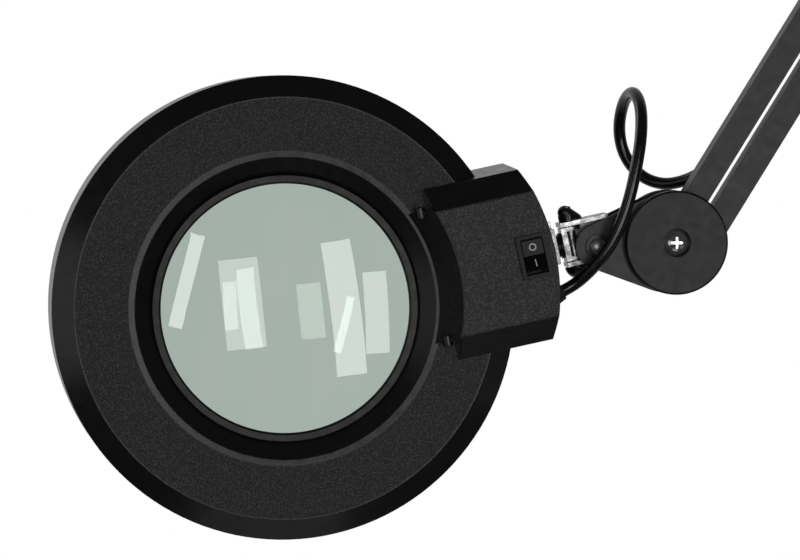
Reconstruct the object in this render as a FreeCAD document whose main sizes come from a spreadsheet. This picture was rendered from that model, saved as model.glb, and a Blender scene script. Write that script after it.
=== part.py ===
"""Clamp-on magnifying lamp with a spring-balanced arm.

Row frame: millimetres, +Z up, origin on the bench face under the clamp's upper jaw,
below the base swivel. The arm moves in the XZ plane and the lens faces -Y.
"""
import FreeCAD, Part
import math
import os
import re
import Sketcher
from types import SimpleNamespace

Vector = FreeCAD.Vector
Rotation = FreeCAD.Rotation
Placement = FreeCAD.Placement

# ---------------------------------------------------------------- driving dimensions
DIMENSIONS = {
    # lens and head, radii about the lens axis and heights from the grained face
    "lens_radius": 63.5, "lens_curve": 346.0, "lens_edge": 1.8, "lens_seat_z": -7.2,
    "view_radius": 60.2, "lip_radius": 64.2, "recess_radius": 73.0, "face_radius": 102.1,
    "rim_radius": 112.3, "bevel_drop": 7.0, "head_depth": 43.0, "shell_wall": 2.6,
    "well_radius": 66.9, "head_tilt": 12.0, "face_y": -18.0,
    # driver box
    "box_top": 12.0, "box_bottom": -35.0, "box_wall": 2.2, "box_end_curve": 106.0,
    "box_end_centre": 26.3, "box_top_half": 30.5, "box_side_half": 42.0, "box_flare": 2.7,
    "box_inner_radius": 84.9, "box_foot_radius": 74.5, "box_corner_radius": 88.4,
    "box_slope_half": 32.0,
    # rocker switch
    "switch_u": 121.5, "bezel_long": 21.0, "bezel_wide": 15.0, "rocker_tilt": 9.0,
    # neck, distances along the head axis from the lens centre
    "stirrup_u": 133.4, "stirrup_thick": 3.4, "knuckle_u": 140.6, "knuckle_thick": 2.8,
    "pitch_u": 145.9, "tilt_u": 156.1, "tilt_w": -3.5, "rivet_radius": 3.0,
    "pitch_bolt_radius": 2.4,
    # arm
    "link_length": 38.4, "link_small": 10.7, "disc_radius": 25.4, "plate_inner": 7.5,
    "plate_thick": 2.0, "cover_thick": 4.6, "bar_length": 430.0, "bar_half": 6.1,
    "bar_depth": 13.0, "bar_sheet": 1.2, "pivot_gap": 30.0, "pin_radius": 3.0,
    "pin_clearance": 0.05, "lower_angle": 80.0, "upper_angle": 58.0, "through_radius": 2.2,
    # base and clamp
    "base_height": 95.0, "post_radius": 6.0, "jaw_thick": 10.0, "jaw_half": 17.0,
    "throat": 66.0, "jaw_reach": 50.0, "spine": 12.0, "screw_x": 28.0, "screw_radius": 5.0,
    # cords
    "cord_diameter": 6.0, "coil_turn_radius": 34.0, "coil_x": 112.0,
}
EXTRA_CLEARANCE = 0.2

# Head cord, from the driver box up into a loop and down behind into the upper bar.
# Offsets from the arm's lower disc centre: (x, y, z).
HEAD_CORD_ROUTE = [
    (-61.5, -13.0, -25.8), (-52.6, -13.0, -21.8), (-44.6, -15.8, -15.0), (-36.8, -18.6, -5.8),
    (-30.6, -20.0, 5.0), (-25.4, -20.6, 19.0), (-21.4, -20.4, 36.0), (-18.4, -18.6, 53.0),
    (-17.2, -10.0, 67.6),
    (-18.6, 5.0, 74.6), (-20.8, 20.5, 68.6), (-21.6, 29.4, 55.0), (-18.6, 30.0, 41.6),
    (-10.6, 27.2, 31.4), (-1.0, 22.8, 27.6), (7.4, 17.0, 28.8), (15.2, 11.0, 32.7),
    (20.3, 4.6, 38.0), (24.6, 0.8, 44.6), (29.0, 0.4, 51.4),
]
# Mains lead, from the strain relief on the base to the coil behind the clamp.
LEAD_ROUTE = [
    (0.0, 38.0, 62.0), (0.6, 55.0, 59.0), (3.6, 68.0, 44.0), (9.0, 76.0, 23.0),
    (21.0, 80.0, 6.2), (38.0, 77.0, 3.2), (50.5, 64.0, 3.2), (58.0, 46.0, 3.2),
    (64.6, 27.0, 3.2), (70.6, 8.0, 3.2), (77.2, -12.7, 3.4),
]
# The lead's other end, up over the top of the coil to the plug that lies across it.
TAIL_ROUTE = [
    (102.4, 35.7, 15.6), (88.2, 28.3, 17.8), (78.9, 17.6, 20.4), (74.2, 5.0, 22.6),
    (77.5, -7.4, 24.4), (86.6, -16.5, 25.8), (99.0, -19.6, 26.4), (121.3, -19.6, 26.4),
]

doc = FreeCAD.newDocument("magnifying_lamp")
sheet = doc.addObject("Spreadsheet::Sheet", "dims")
for row, (alias, number) in enumerate(DIMENSIONS.items(), start=1):
    sheet.set(f"A{row}", alias)
    sheet.set(f"B{row}", str(number))
    sheet.setAlias(f"B{row}", alias)
doc.recompute()
size = SimpleNamespace(**{alias: float(sheet.get(alias)) for alias in DIMENSIONS})
ALIAS = re.compile(r"\b(" + "|".join(DIMENSIONS) + r")\b")

nodes = []


# ---------------------------------------------------------------- building helpers
def formula(text):
    """A formula in the sheet's aliases, as an expression of the document."""
    return ALIAS.sub(r"dims.\1", str(text))


def bind(item, **sizes):
    for name, text in sizes.items():
        item.setExpression(name, formula(text))
    return item


def keep(item, node, place=None):
    """Name a finished sub-part and put it where it belongs on the lamp."""
    item.Label = node
    if place is not None:
        item.Placement = place.multiply(item.Placement)
    nodes.append(item)
    return item


def at(x=0.0, y=0.0, z=0.0, axis=None, angle=0.0):
    turn = Rotation(axis, angle) if axis is not None else Rotation()
    return Placement(Vector(x, y, z), turn)


def along_x(x, y, z):
    return at(x, y, z, Vector(0, 1, 0), 90)


def along_y(x, y, z):
    return at(x, y, z, Vector(1, 0, 0), -90)


def cylinder(radius, height, place=Placement()):
    item = doc.addObject("Part::Cylinder", "cylinder")
    item.Placement = place
    return bind(item, Radius=radius, Height=height)


def cone(radius_low, radius_high, height, place=Placement()):
    item = doc.addObject("Part::Cone", "cone")
    item.Placement = place
    return bind(item, Radius1=radius_low, Radius2=radius_high, Height=height)


def box(length, width, height, place=Placement(), centred=False):
    """A block; centred puts its middle, not its corner, at the place."""
    item = doc.addObject("Part::Box", "block")
    bind(item, Length=length, Width=width, Height=height)
    if centred:
        doc.recompute()
        middle = Vector(item.Length.Value, item.Width.Value, item.Height.Value) * -0.5
        place = place.multiply(Placement(middle, Rotation()))
    item.Placement = place
    return item


def fuse(*pieces):
    item = doc.addObject("Part::MultiFuse", "joined")
    item.Shapes = list(pieces)
    return item


def cut(base, *tools):
    item = doc.addObject("Part::Cut", "cut")
    item.Base = base
    item.Tool = tools[0] if len(tools) == 1 else fuse(*tools)
    return item


def common(first, second):
    item = doc.addObject("Part::Common", "overlap")
    item.Base = first
    item.Tool = second
    return item


def group(*pieces):
    """Separate solids that share one node."""
    item = doc.addObject("Part::Compound", "group")
    item.Links = list(pieces)
    return item


def origin_plane(body, role):
    return next(plane for plane in body.Origin.OriginFeatures if plane.Role == role)


def new_sketch(body, role):
    sketch = body.newObject("Sketcher::SketchObject", "outline")
    sketch.AttachmentSupport = [(origin_plane(body, role), "")]
    sketch.MapMode = "FlatFace"
    return sketch


def pin_point(sketch, line, corner, across, up):
    """Hold one corner of an outline at a place given by two formulas."""
    for kind, text in (("DistanceX", across), ("DistanceY", up)):
        number = sketch.addConstraint(Sketcher.Constraint(kind, -1, 1, line, corner, 1.0))
        sketch.setExpression(f"Constraints[{number}]", formula(text))


def turned(node, outline, place=Placement()):
    """Body of revolution about its own Z, from (radius, height) formulas."""
    body = doc.addObject("PartDesign::Body", "turned")
    sketch = new_sketch(body, "XZ_Plane")
    count = len(outline)
    rough = [Vector(10 + 5 * math.cos(2 * math.pi * k / count),
                    5 * math.sin(2 * math.pi * k / count), 0) for k in range(count)]
    for k in range(count):
        sketch.addGeometry(Part.LineSegment(rough[k], rough[(k + 1) % count]), False)
    for k in range(count):
        sketch.addConstraint(Sketcher.Constraint("Coincident", k, 2, (k + 1) % count, 1))
    for k, (radius, height) in enumerate(outline):
        pin_point(sketch, k, 1, radius, height)
    revolution = body.newObject("PartDesign::Revolution", "turning")
    revolution.Profile = sketch
    revolution.ReferenceAxis = (sketch, ["V_Axis"])
    revolution.Angle = 360.0
    body.Tip = revolution
    return keep(body, node, place)


def link_sketch(body, span, radius_a, radius_b, holes):
    """Two arcs joined by tangents, centres on local X, with round holes."""
    sketch = new_sketch(body, "XY_Plane")
    doc.recompute()
    lean = math.acos((radius_b - radius_a) / span)
    top, low = math.pi - lean, math.pi + lean
    ends = [Vector(radius_a * math.cos(top), radius_a * math.sin(top), 0),
            Vector(span + radius_b * math.cos(top), radius_b * math.sin(top), 0)]
    flips = [Vector(point.x, -point.y, 0) for point in ends]
    normal = Vector(0, 0, 1)
    sketch.addGeometry([
        Part.ArcOfCircle(Part.Circle(Vector(), normal, radius_a), top, low),
        Part.LineSegment(flips[0], flips[1]),
        Part.ArcOfCircle(Part.Circle(Vector(span, 0, 0), normal, radius_b), low - 2 * math.pi, top),
        Part.LineSegment(ends[1], ends[0]),
    ], False)
    for first, end_a, second, end_b in ((0, 2, 1, 1), (1, 2, 2, 1), (2, 2, 3, 1), (3, 2, 0, 1)):
        sketch.addConstraint(Sketcher.Constraint("Tangent", first, end_a, second, end_b))
    for x, y, radius in holes:
        circle = sketch.addGeometry(Part.Circle(Vector(x, y, 0), normal, radius), False)
        sketch.addConstraint(Sketcher.Constraint("Radius", circle, radius))
        sketch.addConstraint(Sketcher.Constraint("DistanceX", -1, 1, circle, 3, x))
        sketch.addConstraint(Sketcher.Constraint("DistanceY", -1, 1, circle, 3, y))
    return sketch


def link_plate(node, span, small, large, holes, place, low, bound_span):
    """Flat plate shaped like a link, plate_thick thick, from local height low."""
    body = doc.addObject("PartDesign::Body", "link")
    sketch = link_sketch(body, span, getattr(size, small), getattr(size, large), holes)
    numbers = [
        (sketch.addConstraint(Sketcher.Constraint("Radius", 0, getattr(size, small))), small),
        (sketch.addConstraint(Sketcher.Constraint("Radius", 2, getattr(size, large))), large),
        (sketch.addConstraint(Sketcher.Constraint("DistanceX", -1, 1, 2, 3, span)), bound_span),
    ]
    sketch.addConstraint(Sketcher.Constraint("Coincident", 0, 3, -1, 1))
    sketch.addConstraint(Sketcher.Constraint("PointOnObject", 2, 3, -1))
    for number, text in numbers:
        sketch.setExpression(f"Constraints[{number}]", formula(text))
    pad = body.newObject("PartDesign::Pad", "thickness")
    pad.Profile = sketch
    bind(pad, Length="plate_thick")
    body.Tip = pad
    return keep(body, node, place.multiply(at(0, 0, low)))


# ---------------------------------------------------------------- frames of the lamp
def plane_frame(x, z, angle, y=0.0):
    """Local X lies in the arm's plane at this angle, local Z faces the user (-Y)."""
    c, s = math.cos(math.radians(angle)), math.sin(math.radians(angle))
    turn = Rotation(Vector(c, 0, s), Vector(-s, 0, c), Vector(0, -1, 0), "XYZ")
    return Placement(Vector(x, y, z), turn)


def step(point, length, angle):
    return (point[0] + length * math.cos(math.radians(angle)),
            point[1] + length * math.sin(math.radians(angle)))


UPPER_PIVOTS = ((4.8, 12.0), (4.8, 12.0 - size.pivot_gap))
ELBOW_PIVOTS = ((-4.8, size.pivot_gap - 12.0), (-4.8, -12.0))
LOWER_PIVOTS = ((-size.pivot_gap / 2, 0.0), (size.pivot_gap / 2, 0.0))
ELBOW_STEP = (-45.0, 35.0)

base_centre = (0.0, size.base_height)
elbow_low = step(base_centre, size.bar_length, size.lower_angle)
elbow_high = (elbow_low[0] + ELBOW_STEP[0], elbow_low[1] + ELBOW_STEP[1])
upper_end = (elbow_high[0] + ELBOW_PIVOTS[0][0], elbow_high[1] + ELBOW_PIVOTS[0][1])
upper_start = step(upper_end, size.bar_length, size.upper_angle + 180.0)
arm_foot = (upper_start[0] - UPPER_PIVOTS[0][0], upper_start[1] - UPPER_PIVOTS[0][1])
tilt_centre = (arm_foot[0] - size.link_length, arm_foot[1] - 1.7)
c12, s12 = (math.cos(math.radians(size.head_tilt)), math.sin(math.radians(size.head_tilt)))
lens_centre = (tilt_centre[0] - size.tilt_u * c12 + size.tilt_w * s12,
               tilt_centre[1] - size.tilt_u * s12 - size.tilt_w * c12)
head_frame = plane_frame(lens_centre[0], lens_centre[1], size.head_tilt, size.face_y)
NECK_DEPTH = size.face_y              # local height of the neck's centre plane, Y = 0
neck_frame = head_frame.multiply(at(0, 0, NECK_DEPTH))


# ---------------------------------------------------------------- head
BOSS_TOP = -6.4                       # inside the bevel's wall


def make_housing():
    shell = turned("shell_blank", [
        ("lip_radius + 0.2", "-4"), ("recess_radius", "0"), ("face_radius", "0"),
        ("rim_radius", "-bevel_drop"), ("rim_radius", "-head_depth"),
        ("rim_radius - shell_wall", "-head_depth"),
        ("rim_radius - shell_wall", "-bevel_drop - 1.4"), ("face_radius - 1", "-shell_wall"),
        ("recess_radius + 1", "-shell_wall"), ("well_radius", "-6"), ("well_radius", "-26"),
        ("lip_radius + 0.2", "-26"), ("lip_radius + 0.2", "lens_seat_z - 2"),
        ("view_radius + 1", "lens_seat_z - 2"), ("view_radius + 1", "lens_seat_z - 0.5"),
        ("lip_radius + 0.2", "lens_seat_z"),
    ])
    nodes.remove(shell)
    bosses = []
    for k in range(6):
        angle = math.radians(30 + 60 * k)
        place = at(104 * math.cos(angle), 104 * math.sin(angle), -38.8)
        boss = cylinder(3.4, BOSS_TOP + 38.8, place)
        bosses.append(cut(boss, cylinder(1.3, 12, place)))
    keep(fuse(shell, *bosses), "head_housing", head_frame)


def make_lens():
    """Biconvex lens: the common part of two balls and its round edge."""
    sag = size.lens_curve - math.sqrt(size.lens_curve ** 2 - size.lens_radius ** 2)
    edge_low = size.lens_seat_z
    balls = []
    for side in (-1, 1):
        ball = doc.addObject("Part::Sphere", "ball")
        bind(ball, Radius="lens_curve")
        apex = edge_low + (size.lens_edge + sag if side > 0 else -sag)
        ball.Placement = at(0, 0, apex - side * size.lens_curve)
        balls.append(ball)
    edge = cylinder("lens_radius", 40, at(0, 0, edge_low - 20))
    keep(common(common(balls[0], balls[1]), edge), "lens", head_frame)


def make_lens_ring():
    turned("lens_ring", [
        ("view_radius", "-3.95"), ("view_radius", "-2.6"), ("view_radius + 1", "-2"),
        ("lip_radius", "-2"), ("lip_radius", "-5.2"), ("lens_radius + 0.1", "-5.2"),
        ("lens_radius - 0.9", "-4.5"),
    ], head_frame)


def make_light():
    turned("led_board", [("70", "-22"), ("98", "-22"), ("98", "-23.6"), ("70", "-23.6")],
           head_frame)
    count = 48
    chips = []
    for k in range(count):
        turn = Rotation(Vector(0, 0, 1), 360.0 * k / count)
        place = Placement(turn.multVec(Vector(84 if k % 2 else 91, 0, -24.6)), turn)
        chips.append(box(5, 5, 1.8, place, centred=True))
    keep(group(*chips), "leds", head_frame)
    diffuser = turned("diffuser_blank", [
        ("well_radius + 0.2", "-24"), ("well_radius + 2.2", "-24"),
        ("well_radius + 2.2", "-39"), ("rim_radius - shell_wall - 0.3", "-39"),
        ("rim_radius - shell_wall - 0.3", "-41.4"), ("well_radius + 0.2", "-41.4"),
    ])
    nodes.remove(diffuser)
    holes, screws = [], []
    for k in range(6):
        angle = math.radians(30 + 60 * k)
        x, y = 104 * math.cos(angle), 104 * math.sin(angle)
        holes.append(cylinder(1.6, 6, at(x, y, -43)))
        shank = cylinder(1.25, 10, at(x, y, -42))
        screws.append(fuse(shank, cone(2.0, 2.8, 1.5, at(x, y, -43))))
    keep(cut(diffuser, *holes), "diffuser", head_frame)
    keep(group(*screws), "diffuser_screws", head_frame)


def box_blank(inset, low, high):
    """Driver box outline, drawn in by inset, between two heights."""
    wedge = doc.addObject("Part::Wedge", "sides")
    wedge.Xmin, wedge.Xmax, wedge.X2min, wedge.X2max = 40, 140, 40, 140
    halves = [f"(box_side_half + box_flare * ({3.0 - z}) / 38 - {inset})"
              for z in (low, size.box_top)]
    bind(wedge, Ymin=low, Ymax="box_top", Zmin="-" + halves[0], Zmax=halves[0],
         Z2min="-" + halves[1], Z2max=halves[1])
    wedge.Placement = at(0, 0, 0, Vector(1, 0, 0), 90)
    end = cylinder(f"box_end_curve - {inset}", f"{high} - ({low})",
                   at(size.box_end_centre, 0, float(low)))
    chamfers = []
    drop, run = 9.0, size.box_side_half - size.box_top_half
    lean = math.degrees(math.atan2(drop, run))
    for side in (-1, 1):
        corner = Vector(30, side * size.box_top_half, size.box_top)
        turn = Rotation(Vector(1, 0, 0), -side * lean)
        place = Placement(corner, turn)
        block = box(120, 40, 30, Placement())
        shift = Vector(0, -10 if side > 0 else -30, -inset)
        block.Placement = place.multiply(Placement(shift, Rotation()))
        chamfers.append(block)
    return cut(common(wedge, end), *chamfers)


def inner_slope(inset):
    """Cone that slopes the box down to the recess round the lens."""
    rise = 3.0
    slope = (size.box_inner_radius - size.box_foot_radius) / size.box_top
    return cone(size.box_foot_radius + inset, size.box_inner_radius + inset + slope * rise,
                size.box_top + rise)


def corner_walls(inset):
    """Steeper cones that end the box beside the slope, one at each corner."""
    rise = 3.0
    lean = (size.box_inner_radius - size.box_corner_radius) / size.box_top
    edge = size.box_slope_half - inset
    walls = []
    for side in (-1, 1):
        wall = cone(size.box_corner_radius + inset, size.box_inner_radius + inset + lean * rise,
                    size.box_top + rise)
        outside = box(140, 40, 60, at(0, edge if side > 0 else -edge - 40, -40))
        walls.append(common(wall, outside))
    return walls


def housing_space(gap):
    """The housing's outside, which the box fits over."""
    wall = cylinder(f"rim_radius + {gap}", "head_depth - bevel_drop + 6",
                    at(0, 0, -size.head_depth - 6))
    bevel = cone(f"rim_radius + {gap}", f"face_radius + {gap}", "bevel_drop",
                 at(0, 0, -size.bevel_drop))
    return fuse(wall, bevel)


def make_driver_box():
    outer = cut(box_blank(0.0, -35, 12), inner_slope(0.0), housing_space(EXTRA_CLEARANCE),
                cylinder("box_foot_radius", 40, at(0, 0, -38)), *corner_walls(0.0))
    lid = size.box_top - size.box_wall
    hollow = cut(common(box_blank(size.box_wall, -36, lid), box(100, 90, 47.8, at(45, -45, -38))),
                 inner_slope(size.box_wall), *corner_walls(size.box_wall))
    window = box(12.8, 18.6, 12, at(size.switch_u, 0, 12), centred=True)
    cable_hole = cylinder(4.2, 20, gland_place().multiply(at(0, 0, -12)))
    rivet_hole = cylinder("rivet_radius + 0.1", 20, along_x(120, 0, NECK_DEPTH))
    lugs = [cylinder(2.4, 5, at(72.8, side * 31.5 - 2.5, 5.2, Vector(1, 0, 0), -90))
            for side in (-1, 1)]
    shell = cut(outer, hollow, window, cable_hole, rivet_hole)
    keep(fuse(shell, *lugs), "driver_cover", head_frame)

    plate = cut(common(box_blank(0.6, -37.4, -35.1), box(100, 100, 2.2, at(50, -50, -37.3))),
                housing_space(EXTRA_CLEARANCE + 0.4))
    keep(plate, "driver_base", head_frame)


def make_driver_parts():
    board = box(1.6, 66, 20, at(118.2, 0, -22), centred=True)
    keep(board, "driver_board", head_frame)
    parts = [box(7.0, 16, 15, at(122.55, -17, -24), centred=True),
             box(4.0, 9, 6, at(121.1, 27, -25), centred=True)]
    for y in (14.0, 20.0):
        parts.append(cylinder(2.6, 7.4, along_x(119.1, y, -17.5)))
    keep(group(*parts), "driver_parts", head_frame)


def make_switch():
    top = size.box_top
    bezel = box("bezel_wide", "bezel_long", 1.7, at(size.switch_u, 0, top + 0.87), centred=True)
    body = box(12.4, 18.2, 14, at(size.switch_u, 0, top - 6.8), centred=True)
    well = box(10.9, 17.6, 9.2, at(size.switch_u, 0, 9.6), centred=True)
    blades = [box(0.8, 4.8, 7, at(size.switch_u, y, -5), centred=True) for y in (-5, 5)]
    keep(cut(fuse(bezel, body, *blades), well), "switch_body", head_frame)

    body = doc.addObject("PartDesign::Body", "rocker_body")
    sketch = new_sketch(body, "YZ_Plane")
    outline = [(-7.4, 0.4), (7.4, 0.4), (7.4, 5.0), (0, 3.2), (-7.4, 5.0)]
    for k, point in enumerate(outline):
        after = outline[(k + 1) % len(outline)]
        sketch.addGeometry(Part.LineSegment(Vector(*point, 0), Vector(*after, 0)), False)
    for k in range(len(outline)):
        after = (k + 1) % len(outline)
        sketch.addConstraint(Sketcher.Constraint("Coincident", k, 2, after, 1))
        pin_point(sketch, k, 1, outline[k][0], outline[k][1])
    pad = body.newObject("PartDesign::Pad", "width")
    pad.Profile = sketch
    pad.Length = 10.2
    pad.Midplane = True
    body.Tip = pad
    tilt = Rotation(Vector(1, 0, 0), -size.rocker_tilt)
    pivot = Placement(Vector(size.switch_u, 0, 9.8), tilt)
    trunnions = cylinder(1.1, 10.8, pivot.multiply(along_x(-5.4, 0, 0)))
    rocking = fuse(trunnions, body)
    body.Placement = pivot
    keep(rocking, "rocker", head_frame)


GLAND_W = -22.0
GLAND_LEAN = 24.0                     # the cord leaves upwards of the wall's normal


def gland_place():
    """On the box's end wall, pointing out of it: local Z leaves the box."""
    reach = math.sqrt(size.box_end_curve ** 2 - GLAND_W ** 2)
    turn = Rotation(Vector(0, 0, 1), Vector(reach, GLAND_W, 0))
    return Placement(Vector(size.box_end_centre + reach, GLAND_W, -5.0), turn)


def cord_exit():
    """Axis of the head cord where it leaves the grommet: local Z runs along it."""
    place = gland_place()
    turn = Rotation(Vector(0, 0, 1), GLAND_LEAN).multiply(place.Rotation)
    return Placement(place.Base, turn)


def make_gland():
    place = gland_place()
    flange = cylinder(5.8, 1.6, place.multiply(at(0, 0, 0.2)))
    stem = cylinder(4.0, 6, place.multiply(at(0, 0, -5.7)))
    neck = cut(cone(5.0, 3.9, 4.4, cord_exit()), cylinder(8, 5, place.multiply(at(0, 0, -4.8))))
    bore = cylinder("cord_diameter / 2 + 0.02", 14, cord_exit().multiply(at(0, 0, -2)))
    keep(cut(fuse(flange, neck, stem), bore), "head_grommet", head_frame)


# ---------------------------------------------------------------- neck
def make_stirrup():
    plate = box("stirrup_thick", 17.4, 20, at(size.stirrup_u + 1.7, 0.6, 0), centred=True)
    foot = cylinder(6.4, 1.2, along_x(size.stirrup_u - 1.05, 0, 0))
    tab = box("stirrup_thick", 5, 3, at(size.stirrup_u + 1.7, 10.2, 0), centred=True)
    bore = cylinder("rivet_radius + 0.05", 12, along_x(size.stirrup_u - 4, 0, 0))
    keep(cut(fuse(plate, foot, tab), bore), "head_stirrup", neck_frame)


def make_swivel():
    end = size.knuckle_u + size.knuckle_thick
    shank = cylinder("rivet_radius", end - 129.0, along_x(129.0, 0, 0))
    inner_head = cylinder(5.5, 1.6, along_x(127.9, 0, 0))
    outer_head = cylinder(4.9, 1.1, along_x(end - 1.15, 0, 0))
    keep(fuse(shank, inner_head, outer_head), "swivel_rivet", neck_frame)
    start = size.stirrup_u + size.stirrup_thick
    washers = []
    for k, radius in enumerate((6.3, 5.4, 6.3)):
        ring = along_x(start + 0.08 + k * 1.22, 0, 0)
        washers.append(cut(cylinder(radius, 1.14, ring), cylinder("rivet_radius + 0.05", 2, ring)))
    keep(group(*washers), "swivel_washers", neck_frame)


def make_knuckle():
    web = box("knuckle_thick", 16.4, 10, at(size.knuckle_u + 1.4, 0.2, 0), centred=True)
    ears = []
    for w in (7.4, -7.0):
        ear = box(6.4, 2, 10, at(size.knuckle_u + 5.2, w, 0), centred=True)
        rounding = cylinder(5, 2, at(size.pitch_u, w - 1, 0, Vector(1, 0, 0), -90))
        ears.extend([common(ear, box(5.3, 2, 10, at(size.knuckle_u + 2.65, w, 0), centred=True)),
                     rounding])
    bolt = cylinder("pitch_bolt_radius + 0.05", 40, at(size.pitch_u, -20, 0, Vector(1, 0, 0), -90))
    rivet = cylinder("rivet_radius + 0.05", 10, along_x(size.knuckle_u - 3, 0, 0))
    seat = cylinder(4.95, 6, along_x(size.knuckle_u + size.knuckle_thick - 1.2, 0, 0))
    keep(cut(fuse(web, *ears), bolt, rivet, seat), "knuckle", neck_frame)


def make_yoke():
    left, right = size.pitch_u - 5.4, size.tilt_u + 8.6
    top = box(right - left, 2.2, 13.9, at(left, 8.9, -7.4))
    low = box(8.5, 2.2, 13.9, at(left, -10.7, -7.4))
    web = box(size.tilt_u + 6.0 - 149.0, 21.8, 1.8, at(149.0, -10.7, -7.4))
    eye = cylinder(7.2, 1.8, at(size.tilt_u, size.tilt_w, -7.4))
    bolt = cylinder("pitch_bolt_radius + 0.02", 40, at(size.pitch_u, -20, 0, Vector(1, 0, 0), -90))
    pivot = cylinder("pin_radius + pin_clearance", 4, at(size.tilt_u, size.tilt_w, -9))
    keep(cut(fuse(top, low, web, eye), bolt, pivot), "yoke", neck_frame)


def make_pitch_fasteners():
    def upright(w):
        return at(size.pitch_u, w, 0, Vector(1, 0, 0), -90)

    keep(cylinder("pitch_bolt_radius", 32.2, upright(-14.2)), "pitch_bolt", neck_frame)
    dome = doc.addObject("Part::Sphere", "dome")
    dome.Radius = 6.2
    dome.Placement = at(size.pitch_u, -11.2, 0)
    nut = common(dome, box(14, 6, 14, at(size.pitch_u, -14.1, 0), centred=True))
    blind = cylinder("pitch_bolt_radius", 3.4, upright(-14.2))
    keep(cut(nut, blind), "pitch_nut", neck_frame)
    collar = cylinder(4.6, 3.0, upright(11.3))
    near, far = Vector(size.pitch_u - 0.9, 15.4, 0), Vector(size.pitch_u + 3.5, 10.9, 0)
    lever = cylinder(3.5, (far - near).Length,
                     Placement(near, Rotation(Vector(0, 0, 1), far - near)))
    ends = []
    for centre in (near, far):
        ball = doc.addObject("Part::Sphere", "ball")
        ball.Radius = 3.5
        ball.Placement = Placement(centre, Rotation())
        ends.append(ball)
    below = box(30, 12, 10, at(size.pitch_u, 5.4, 0), centred=True)
    wing = cut(fuse(lever, *ends), below)
    bore = cylinder("pitch_bolt_radius + 0.03", 6.8, upright(11.3))
    keep(cut(fuse(collar, wing), bore), "pitch_knob", neck_frame)


# ---------------------------------------------------------------- arm
def pin_holes(pivots, rotation):
    """Pivots given in the row's plane, seen in a plate turned by an angle."""
    c, s = math.cos(math.radians(rotation)), math.sin(math.radians(rotation))
    return [(x * c + z * s, -x * s + z * c) for x, z in pivots]


def plates(prefix, centre_a, centre_b, small, large, pivots, bound_span, through):
    """Front and rear plate of one joint, with holes for its pins and bolts."""
    dx, dz = centre_b[0] - centre_a[0], centre_b[1] - centre_a[1]
    span, turn = math.hypot(dx, dz), math.degrees(math.atan2(dz, dx))
    local = pin_holes([(x - centre_a[0], z - centre_a[1]) for x, z in pivots], turn)
    bolts = pin_holes([(x - centre_a[0], z - centre_a[1]) for x, z in through], turn)
    holes = [(x, y, size.pin_radius + 0.02) for x, y in local]
    holes += [(x, y, size.through_radius + 0.1) for x, y in bolts]
    frame = plane_frame(centre_a[0], centre_a[1], turn)
    reach = size.plate_inner + size.plate_thick
    link_plate(prefix + "_plate_front", span, small, large, holes, frame,
               size.plate_inner, bound_span)
    link_plate(prefix + "_plate_rear", span, small, large, holes, frame, -reach, bound_span)


def offset_all(centre, offsets):
    return [(centre[0] + x, centre[1] + z) for x, z in offsets]


def covers(node, centres):
    """Flat discs over both plates, with a broken edge and dished for the bolt."""
    outside = size.plate_inner + size.plate_thick + 0.05
    pieces = []
    for x, z in centres:
        for side in (1, -1):
            face = plane_frame(x, z, 0.0) if side > 0 else Placement(
                Vector(x, 0, z), Rotation(Vector(1, 0, 0), -90))
            lift = face.multiply(at(0, 0, outside))
            rim = cylinder("disc_radius", "cover_thick - 0.8", lift)
            dome = cone("disc_radius", "disc_radius - 0.9", 0.8,
                        lift.multiply(at(0, 0, size.cover_thick - 0.8)))
            dish = cone(5.4, 7.0, 1.5, lift.multiply(at(0, 0, size.cover_thick - 1.5)))
            bore = cylinder("through_radius + 0.1", 10, lift)
            pieces.append(cut(fuse(rim, dome), dish, bore))
    keep(group(*pieces), node)


def pins(node, points):
    """Riveted pins, flush with the plates."""
    reach = size.plate_inner + size.plate_thick
    keep(group(*[cylinder("pin_radius", 2 * reach, along_y(x, -reach, z)) for x, z in points]),
         node)


def through_bolts(node, points):
    """Machine screw with a domed cross head in front and a nut behind."""
    seat = size.plate_inner + size.plate_thick + size.cover_thick - 1.4
    pieces = []
    for x, z in points:
        front = plane_frame(x, z, 0.0)
        shank = cylinder("through_radius", 2 * seat + 3, front.multiply(at(0, 0, -seat - 3)))
        dome = doc.addObject("Part::Sphere", "dome")
        dome.Radius = 6.4
        dome.Placement = front.multiply(at(0, 0, seat + 2.4 - 6.4))
        head = common(dome, cylinder(4.9, 4, front.multiply(at(0, 0, seat))))
        slot_a = box(5.6, 1.2, 3, front.multiply(at(0, 0, seat + 2.4)), centred=True)
        slot_b = box(1.2, 5.6, 3, front.multiply(at(0, 0, seat + 2.4)), centred=True)
        nut = doc.addObject("Part::Prism", "nut")
        nut.Polygon, nut.Circumradius, nut.Height = 6, 4.4, 3.0
        nut.Placement = front.multiply(at(0, 0, -seat - 3.0))
        pieces.append(cut(fuse(shank, head, nut), slot_a, slot_b))
    return keep(group(*pieces), node)


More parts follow.
